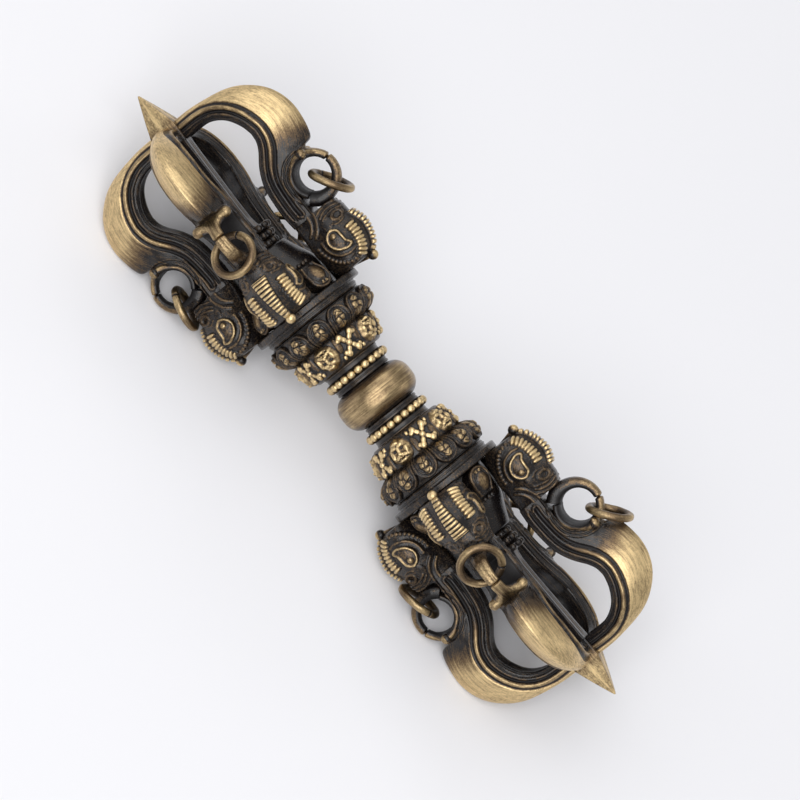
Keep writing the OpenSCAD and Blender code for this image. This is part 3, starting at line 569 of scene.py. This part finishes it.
# Its cross-section: share of the height and of the half width, with None at the crest
shape = [(0, -0.42), (0.14, -0.72), (0.42, -1), (0.66, -0.96), (0.84, -0.68), (1, None), (1, None),
         (0.84, 0.68), (0.66, 0.96), (0.42, 1), (0.14, 0.72), (0, 0.42)]
head_rows = []
for at, low, high, half, crest in skull:
    rail = [(low + f * (high - low), s * half if s is not None else (-crest if k == 5 else crest))
            for k, (f, s) in enumerate(shape)]
    around = curve(rail, steps=18, closed=True)
    head_rows.append(np.column_stack([np.full(len(around), at), around]))
head_points = np.array(head_rows)
for k, shrink in enumerate((0.93, 0.98)):
    centre = head_points[k].mean(axis=0)
    head_points[k, :, 1:] = centre[1:] + (head_points[k, :, 1:] - centre[1:]) * shrink
normal = outward(head_points)
w, u, v = head_points[:, :, 0], head_points[:, :, 1], head_points[:, :, 2]
flank = smooth_step(0.2, 0.55, abs(normal[:, :, 2]))
head_height, head_gold = 0 * w, 0 * w + 0.1
# Eye: a rimmed almond with its ball and pupil
eye_line = curve([(26.2, 15.9), (26.1, 15.0), (26.7, 13.6), (27.9, 12.7), (29.1, 12.6), (30.2, 13.3),
                  (30.5, 14.3), (29.9, 15.3), (28.7, 15.5), (27.4, 15.7), (26.6, 16.2)],
                 steps=6, closed=True)
eye_line = np.concatenate([eye_line, eye_line[:1]])
eye_rim = ridge(reach(w, u, eye_line), 0.3) * flank
eye_ball = boss(w, u, (28.5, 14.2), 2.3, 1.8) * flank
pupil = boss(w, u, (29.35, 14.15), 0.62, 0.62) * flank
head_height += 0.38 * eye_rim + 0.3 * eye_ball + 0.4 * pupil
head_gold += 0.45 * eye_rim + 0.1 * smooth_step(0.2, 0.6, eye_ball) + 0.35 * pupil
# Ruff: a string of beads behind the eye, and a ridge inside it
ruff_line = curve([(23.5, 16.0), (23.3, 14.9), (23.6, 13.5), (24.3, 12.3), (25.3, 11.3), (26.7, 10.5),
                   (28.2, 10.0), (29.6, 10.0)], steps=12)
lengths = np.concatenate([[0], np.cumsum(np.hypot(*np.diff(ruff_line, axis=0).T))])
for s in np.arange(0.3, lengths[-1], RUFF_PITCH):
    at = [np.interp(s, lengths, ruff_line[:, k]) for k in (0, 1)]
    bead_height = boss(w, u, at, 0.45, 0.45) * flank
    head_height += 0.42 * bead_height
    head_gold += 0.1 * smooth_step(0.3, 0.9, bead_height)
inner_line = curve([(25.2, 16.2), (25.0, 15.0), (25.2, 13.9), (25.8, 12.7), (27.0, 11.7), (28.4, 11.3),
                    (29.8, 11.3)], steps=8)
inner_ridge = ridge(reach(w, u, inner_line), 0.26) * flank
head_height += 0.24 * inner_ridge
head_gold += 0.15 * inner_ridge
# Nostril, folds of the muzzle, lips and cheek
nostril = np.hypot((w - 32.4) / 0.85, (u - 16.9) / 1.0)
head_height += (0.4 * ridge(nostril - 1, 0.4) - 0.35 * smooth_step(0.8, 0.3, nostril)) * flank
head_gold += 0.12 * ridge(nostril - 1, 0.4) * flank
for line, half, height in (
        ([(33.4, 18.2), (33.8, 16.6), (33.5, 15.2), (33.0, 14.2)], 0.25, 0.24),
        ([(34.2, 18.2), (34.6, 16.4), (34.3, 14.9), (33.7, 13.9)], 0.25, 0.26),
        ([(35.0, 18.0), (35.35, 16.4), (35.1, 14.8), (34.6, 13.7)], 0.27, 0.28),
        ([(35.5, 13.4), (33.9, 13.1), (32.3, 12.2), (31.2, 10.9)], 0.3, 0.3),
        ([(35.5, 12.0), (34.1, 11.8), (32.9, 11.1), (32.0, 10.0)], 0.3, 0.3),
        ([(31.2, 17.6), (30.9, 16.4), (31.3, 15.2)], 0.22, 0.2)):
    fold = ridge(reach(w, u, curve(line, steps=6)), half) * flank
    head_height += height * fold
    head_gold += 0.1 * fold
lip_line = [(MOUTH_AT, 12.7), (34.0, 12.45), (32.6, 11.6), (31.6, 10.4)]
head_height -= 0.35 * ridge(reach(w, u, lip_line), 0.28) * flank
head_height += 0.35 * boss(w, u, (32.2, 14.4), 1.7, 1.5) * flank
# Ribbed crest, which widens towards the muzzle
crest_half = 0.62 + (w - CREST_FROM) / CREST_LONG
rib_way = (w - RIB_FROM) / RIB_PITCH
to_groove = abs(rib_way - np.floor(rib_way) - 0.5) * RIB_PITCH
rib = 1 - np.exp(-(to_groove / 0.11) ** 2)
on_crest = smooth_step(0.08, -0.08, abs(v) - crest_half) * (u > HEAD_LOW + 5) * smooth_step(31.7, 31.4, w)
rib_round = np.sqrt(np.clip(rib, 0, 1)) * np.sqrt(np.clip(1.05 - (v / crest_half) ** 4, 0, 1))
head_height += on_crest * (0.3 + 0.62 * rib_round)
head_gold += on_crest * (0.9 * smooth_step(0.35, 0.95, rib) - 0.15)
# Ribbed brows: short ribs laid along an arch on each side
for sign in (-1, 1):
    arch = curve([(23.5, 16.4, 3.75), (24.6, 17.3, 3.75), (25.6, 17.75, 3.8), (26.8, 18.0, 3.8),
                  (28.0, 18.0, 3.75), (29.3, 17.7, 3.6)], steps=8)
    arch_way = np.concatenate([[0], np.cumsum(np.linalg.norm(np.diff(arch, axis=0), axis=1))])
    rib_ways = np.linspace(0, arch_way[-1], BROW_RIBS)
    brow_line = np.stack([np.interp(rib_ways, arch_way, arch[:, k]) for k in range(3)], axis=1)
    tangents = np.gradient(brow_line, axis=0)
    for middle, run in zip(brow_line, tangents / np.linalg.norm(tangents, axis=1, keepdims=True)):
        gap = head_points - middle * [1, 1, sign]
        straight = gap @ (run * [1, 1, sign])
        aside = np.sqrt(np.clip((gap ** 2).sum(axis=2) - straight ** 2, 0, None))
        rib_height = np.sqrt(np.clip(1 - (straight / 0.44) ** 2 - (aside / 1.32) ** 4, 0, 1))
        head_height = np.maximum(head_height, 0.85 * rib_height)
        head_gold = np.maximum(head_gold, 0.85 * smooth_step(0.25, 0.8, rib_height))
head_points = head_points + normal * head_height[:, :, None]
normal = outward(head_points)
head_gold = head_gold + 2.0 * np.clip(proud(head_points, normal, steps=6), -0.12, 0.1)
head_points, head_gold = capped(head_points, head_gold)
head_parts = [skin_over("skull", head_points, head_gold)]
head_parts += balls("crest_ball", [(22.0, 17.0, 0)], [(-0.3, 1, 0)], 1.1)


# Part of a loop's band: a flat bar with round edges and one round end, bent round the loop's middle
def bent_band(name, angles, notch_end, widths, thicknesses, rub, grooves=0.0):
    sweep = np.linspace(0, 2 * math.pi, 64, endpoint=False)
    soft = 0.7
    side_way = np.sign(np.cos(sweep)) * abs(np.cos(sweep)) ** soft
    out_way = np.sign(np.sin(sweep)) * abs(np.sin(sweep)) ** soft
    a = np.radians(angles)[:, None]
    to_end = np.radians(angles - notch_end)[:, None] * LOOP_HOLE
    rounding = np.sqrt(np.clip(1 - np.clip(1 - abs(to_end) / END_ROUND, 0, 1) ** 2, 0.2, 1))
    thick = thicknesses[:, None] * rounding
    ribbed = grooves * (out_way > 0.8) * np.cos(2.5 * math.pi * side_way)
    radius = LOOP_HOLE + thicknesses[:, None] / 2 + thick / 2 * out_way - ribbed
    full = np.ones_like(radius)
    points = np.stack([LOOP_AT + radius * np.cos(a), LOOP_OUT + radius * np.sin(a),
                       widths[:, None] / 2 * rounding * side_way * full], axis=2)
    # The band's inner side, towards the hole, is pushed to black: partly the black patina left in the
    # loop's hollow, partly painted shade standing in for the dark inside of the hole
    worn = rub(np.degrees(a), side_way, out_way) - 0.5 * smooth_step(0.1, -0.5, out_way) * full
    lie = np.stack([a * LOOP_HOLE * full, points[:, :, 2], radius], axis=2)
    points, worn, lie = capped(points, worn, lie)
    return skin_over(name, points, worn, lie=lie)


# The cast band is a little thicker than the plain one of the solids
BAND_OVER = 1.6
trunk_angles = np.linspace(NOTCH + 0.3, 226, 140)
bent = np.clip((trunk_angles - NOTCH) / 130, 0, 1)
head_parts.append(bent_band(
    "trunk", trunk_angles, trunk_angles[0], 2.45 + 2.4 * bent ** 2, BAND_OVER + 1.4 * bent ** 2,
    lambda a, s, o: 0.03 + (0.6 * smooth_step(0.0, 0.95, o) * smooth_step(180, 110, a)
                            + 0.3 * abs(s) ** 8 * smooth_step(200, 150, a)), grooves=0.06))
head = join("makara", head_parts)
each_prong(head, "sea_monster", cast_brass, "makara")

# Prongs: curved cast bars with a rounded keel, a bright ridge and two grooves along each flank, and
# a curl at the root that meets the trunk. Each sits with a tenon in its head's mouth.
REACH, PRONG_WIDTH, DEPTH, BULGE = 23.2, 7.8, 9.7, 54.0
PRONG_END, PRONG_TIP, SPIKE_HALF = 66.8, 4.4, 2.7
half = PRONG_WIDTH / 2
wall = LOOP_HOLE + BAND * 0.75
root_top, inner_top = LOOP_OUT - LOOP_HOLE - BAND * 0.8, REACH - DEPTH
# Stations along a prong: outer place, inner place, half width and the keel's share of that width
stations = curve([
    (MOUTH_AT - 0.3, root_top, MOUTH_AT - 0.3, HEAD_LOW, half * 0.82, 1),
    (LOOP_AT - 2.4, root_top, LOOP_AT - 2.4, HEAD_LOW - 0.2, half * 0.84, 1),
    (LOOP_AT + wall * 0.35, LOOP_OUT - wall * 0.94, LOOP_AT + 3.4, HEAD_LOW + 0.4, half * 0.88, 1),
    (LOOP_AT + wall * 0.82, LOOP_OUT - wall * 0.57, LOOP_AT + 7.2, HEAD_LOW + 2, half * 0.95, 0.95),
    (LOOP_AT + wall, LOOP_OUT, LOOP_AT + 10.2, inner_top - 1, half, 0.75),
    (LOOP_AT + wall * 1.26, LOOP_OUT + wall * 0.36, BULGE - 0.8, inner_top - 0.2, half, 0.45),
    (LOOP_AT + wall * 1.5, REACH - 1.1, BULGE + 0.4, inner_top, half, 0.15),
    (BULGE, REACH, BULGE + 1.4, inner_top, half, 0.07),
    (BULGE + 5, REACH - 1.2, BULGE + 3.6, inner_top - 0.6, half * 0.98, 0.07),
    (BULGE + 8.8, REACH - 4.3, BULGE + 6, inner_top - 2, half * 0.9, 0.1),
    (PRONG_END - 1.5, REACH - 8.7, BULGE + 7.6, inner_top - 4, half * 0.78, 0.14),
    (PRONG_END - 0.2, SPIKE_HALF + 5, PRONG_END - PRONG_TIP, inner_top - 6.6, half * 0.66, 0.2),
    (PRONG_END, SPIKE_HALF + 0.1, PRONG_END - PRONG_TIP, SPIKE_HALF + 0.1, half * 0.6, 0.2)], steps=14)
prong_rows = []
for out_w, out_r, in_w, in_r, wide, lip in stations:
    # Cross-section: share of the way in from the keel, and share of the half width
    slope = [(depth, lip + (1 - lip) * share)
             for depth, share in ((0, 0), (0.1, 0.33), (0.27, 0.63), (0.47, 0.88))]
    edge = slope + [(0.66, 1), (0.84, 0.95), (1, 0.72)]
    rail = [(depth, -wide_share) for depth, wide_share in edge] + [(0.94, 0)] + edge[::-1]
    q = curve(rail, steps=11, closed=True)
    span = np.array([in_w - out_w, in_r - out_r])
    flat = np.array([out_w, out_r]) + q[:, :1] * span
    prong_rows.append(np.column_stack([flat, q[:, 1] * wide]))
prong_points = np.array(prong_rows)
middle_line = prong_points.mean(axis=1)
run = np.concatenate([[0], np.cumsum(np.linalg.norm(np.diff(middle_line, axis=0), axis=1))])[:, None]
normal = outward(prong_points)
w, u, v = prong_points[:, :, 0], prong_points[:, :, 1], prong_points[:, :, 2]
from_inner = reach(w, u, stations[::3, 2:4])
flank = smooth_step(0.15, 0.45, abs(normal[:, :, 2]))
# Ridges and grooves follow the inner edge, and turn back in a hairpin near the mouth
root = smooth_step(50, 42, w)
tip = smooth_step(56, 63, run)
main_at, main_half = 2.6 - 0.35 * tip, 0.46 - 0.12 * root - 0.08 * tip
start = smooth_step(36.2, 36.9, w)
main_ridge = ridge(from_inner - main_at, main_half) * flank * start
thin_ridge = ridge(from_inner - 1.25, 0.28) * flank * start
groove = ridge(from_inner - main_at - 0.95 + 0.25 * root, 0.3) + ridge(from_inner - 1.82, 0.24)
groove = groove * flank * start
hairpin = ridge(from_inner - 3.95, 0.3) * smooth_step(47, 43, w) * start
turn_back = ridge(np.hypot(w - 36.95, from_inner - 3.28) - 0.68, 0.3) * (w < 36.95)
loop_way = np.hypot(w - LOOP_AT, u - LOOP_OUT)
loop_lines = sum(ridge(loop_way - r, 0.24) for r in (5.1, 5.8))
loop_lines = loop_lines * (from_inner > 3.4) * smooth_step(37.2, 38.5, w) * (w < 47.5)
prong_height = 0.42 * main_ridge + 0.26 * thin_ridge - 0.3 * groove
prong_height += (0.28 * np.maximum(hairpin, turn_back) + 0.2 * loop_lines) * flank
prong_points = prong_points + normal * prong_height[:, :, None]
# The keel is rubbed bright from the bulge to the tip, and the root is left black
outer_part = smooth_step(3.3, 3.9, from_inner)
bright = smooth_step(47.5, 55.5, w + 0.3 * (from_inner - 6)) * outer_part
prong_rub = 0.05 + 0.88 * bright + main_ridge * 0.6 * smooth_step(44, 52, w) + 0.06 * thin_ridge
prong_rub += (0.08 * np.maximum(hairpin, turn_back) + 0.06 * loop_lines) * flank - 0.4 * groove
prong_rub += np.clip(proud(prong_points, outward(prong_points), steps=6), -0.2, 0.2)
lie = np.stack([run * np.ones_like(w), v, from_inner], axis=2)
prong_points, prong_rub, lie = capped(prong_points, prong_rub, lie)
prong_parts = [skin_over("bar", prong_points, prong_rub, lie=lie)]
FLARE, NARROW, FLARE_FROM, FLARE_TO = 8.6, 2.5, 52, 12
curl_angles = np.concatenate([np.linspace(-130, -12, 60), np.linspace(-10, NOTCH - 0.3, 110)])
flaring = np.clip((FLARE_FROM - curl_angles) / (FLARE_FROM - FLARE_TO), 0, 1) ** 2.3
curl_widths = np.where(curl_angles > 0, NARROW + (FLARE - NARROW) * flaring,
                       FLARE + (PRONG_WIDTH * 0.9 - FLARE) * np.minimum(1, -curl_angles / 60))
prong_parts.append(bent_band(
    "curl", curl_angles, curl_angles[-1], curl_widths,
    BAND_OVER + 0.5 * flaring * smooth_step(-40, 0, curl_angles),
    lambda a, s, o: 0.03 + (0.6 * smooth_step(0.0, 0.9, o) * smooth_step(-32, -6, a)
                            + 0.4 * abs(s) ** 8 * smooth_step(-110, -70, a))))
# The flare ends in one thick roll across the bar, with round ends
ROLL_R, ROLL_HALF, ROLL_OUT, ROLL_AT = 1.1, 3.5, 4.6, math.radians(10)
sweep = np.linspace(0, 2 * math.pi, 40, endpoint=False)[None, :]
aside = (ROLL_HALF + ROLL_R) * np.sin(np.linspace(-math.pi / 2, math.pi / 2, 61))[:, None]
rounding = np.sqrt(1 - np.clip((abs(aside) - ROLL_HALF) / ROLL_R, 0, 1) ** 2)
thick = ROLL_R * rounding * (0.84 + 0.16 * np.clip(abs(aside) / ROLL_HALF, 0, 1) ** 2)
roll_points = np.stack([LOOP_AT + ROLL_OUT * math.cos(ROLL_AT) + thick * np.cos(sweep),
                        LOOP_OUT + ROLL_OUT * math.sin(ROLL_AT) + thick * np.sin(sweep),
                        aside * np.ones_like(sweep)], axis=2)
roll_rub = 0.08 + 0.55 * smooth_step(-0.3, 0.5, np.sin(sweep)) * np.ones_like(aside)
prong_parts.append(skin_over("roll", roll_points, roll_rub, lie=roll_points[:, :, [2, 0, 1]]))
prong = join("prong", prong_parts)
each_prong(prong, "claw", filed_brass, "prong")

# Jump rings: brass wire wound on a bar, cut, and closed by hand round the loop, so the cut shows as a
# thin seam. Each hangs loose and rides on its own body.
RING_R, WIRE_R = 4.1, 0.8
SEAM_AT, SEAM_HALF, SEAM_DEEP = 3.9, 0.035, 0.16
wire_brass = antique_brass("drawn_wire_brass", (6, 0.3, 0.3), lie="lie", shine=0.3)
# How the rings lie: angle round the loop, distance from its middle and sideways place
LIES = {"up_back": (150, 3.6, 0.5), "up_front": (150, 3.6, 0.5),
        "down_front": (167, 4.7, -0.9), "down_back": (167, 4.7, 0.9)}
TIPWARD_LIE = (38, 6.2, 0.0)
bend = np.linspace(0, 2 * math.pi, 144, endpoint=False)[:, None]
sweep = np.linspace(0, 2 * math.pi, 28, endpoint=False)[None, :]
seam = np.exp(-((bend - SEAM_AT) / SEAM_HALF) ** 2)
wobble = 1 + 0.02 * np.sin(7 * bend + 3 * sweep) + 0.015 * np.sin(11 * bend - 2 * sweep)
wire = WIRE_R * (wobble - SEAM_DEEP * seam)
away, rise = RING_R + wire * np.cos(sweep), wire * np.sin(sweep)
worn = 0.5 + 0.15 * np.sin(3 * bend + 1) + 0.15 * np.cos(sweep) - 0.9 * seam
lie = np.stack([bend * RING_R * np.ones_like(away), wire * np.cos(sweep), rise], axis=2)
worn, lie = [np.concatenate([field, field[:1]]) for field in (worn, lie)]
for side, sign in SIDES.items():
    for spot, turn in PRONGS.items():
        leaning, offset, aside = TIPWARD_LIE if (side, spot) == ("right", "up_back") else LIES[spot]
        a = math.radians(leaning)
        far, over = offset + away * np.cos(bend), aside + away * np.sin(bend)
        points = np.stack([LOOP_AT + far * math.cos(a) - rise * math.sin(a),
                           LOOP_OUT + far * math.sin(a) + rise * math.cos(a), over], axis=2)
        points = np.concatenate([points, points[:1]])
        node = f"{side}_ring_{spot}"
        jump = skin_over("jump_ring", points, worn, lie=lie)
        fit_to(jump, f"{side}_{spot}_jump_ring", sign, turn, wire_brass, node, body=node)
        drop(jump)

# Studio: a plain pale floor under the four lower prongs inside a white tent, one large soft lamp
# above the left end and one beside the viewer, a weak small one behind, and a long lens.
FLOOR_AT = -16.9
bpy.ops.object.select_all(action="DESELECT")
bpy.ops.mesh.primitive_plane_add(size=6, location=(0, 0, FLOOR_AT * MM))
floor = bpy.context.object
floor.name = "floor"
paper = bpy.data.materials.new("pale_paper")
paper.use_nodes = True
paper.node_tree.nodes["Principled BSDF"].inputs["Base Color"].default_value = linear("#eeeef2")
paper.node_tree.nodes["Principled BSDF"].inputs["Roughness"].default_value = 0.9
floor.data.materials.append(paper)
floor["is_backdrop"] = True
world = bpy.data.worlds.new("studio")
bpy.context.scene.world = world
world.use_nodes = True
sky = world.node_tree.nodes["Background"]
sky.inputs["Color"].default_value = linear("#ffffff")
# Metal and the lens see a bright white tent, which lights the floor less
TENT_LIGHT, TENT_SEEN = 0.33, 0.5
way = put(world.node_tree, "ShaderNodeLightPath", {}).outputs
seen = put(world.node_tree, "ShaderNodeMath", {0: way["Is Camera Ray"], 1: way["Is Glossy Ray"]},
           operation="MAXIMUM").outputs[0]
strength = put(world.node_tree, "ShaderNodeMapRange", {
    "Value": seen, "To Min": TENT_LIGHT, "To Max": TENT_SEEN}).outputs["Result"]
world.node_tree.links.new(strength, sky.inputs["Strength"])
for name, place, size, power in (("key", (-0.5, 0.05, 0.85), 1.3, 5.8),
                                 ("fill", (0.15, -0.7, 0.9), 1.0, 8.5),
                                 ("edge", (0.5, 0.6, 0.45), 0.3, 0.4)):
    lamp = bpy.data.lights.new(name, "AREA")
    lamp.size, lamp.energy = size, power
    holder = bpy.data.objects.new(name, lamp)
    bpy.context.scene.collection.objects.link(holder)
    holder.location = place
    holder.rotation_euler = (-Vector(place)).to_track_quat("-Z", "Y").to_euler()
# The lens: tilt round the part's axis, roll, distance, scale, and the place of the bead's middle
TILT, ROLL, AWAY, PIXELS_PER_MM = math.radians(57.4), math.radians(51.4), 1.2, 5.097
BEAD_PIXEL, FRAME_PIXELS = (376.8, 395.2), 800
axis, raised = Vector((1, 0, 0)), Vector((0, math.sin(TILT), math.cos(TILT)))
back = axis.cross(raised)
right = axis * math.cos(ROLL) + raised * math.sin(ROLL)
up = raised * math.cos(ROLL) - axis * math.sin(ROLL)
lens = bpy.data.cameras.new("camera")
camera = bpy.data.objects.new("camera", lens)
bpy.context.scene.collection.objects.link(camera)
off_right, off_up = FRAME_PIXELS / 2 - BEAD_PIXEL[0], BEAD_PIXEL[1] - FRAME_PIXELS / 2
aim = (right * off_right + up * off_up) * (MM / PIXELS_PER_MM)
facing = Matrix((right, up, back)).transposed().to_4x4()
camera.matrix_world = Matrix.Translation(aim + back * AWAY) @ facing
lens.sensor_width = 36
lens.lens = lens.sensor_width * AWAY / (FRAME_PIXELS / PIXELS_PER_MM * MM)
lens.clip_end = 20
bpy.context.scene.camera = camera
bpy.context.scene.view_settings.view_transform = "Standard"

low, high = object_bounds()
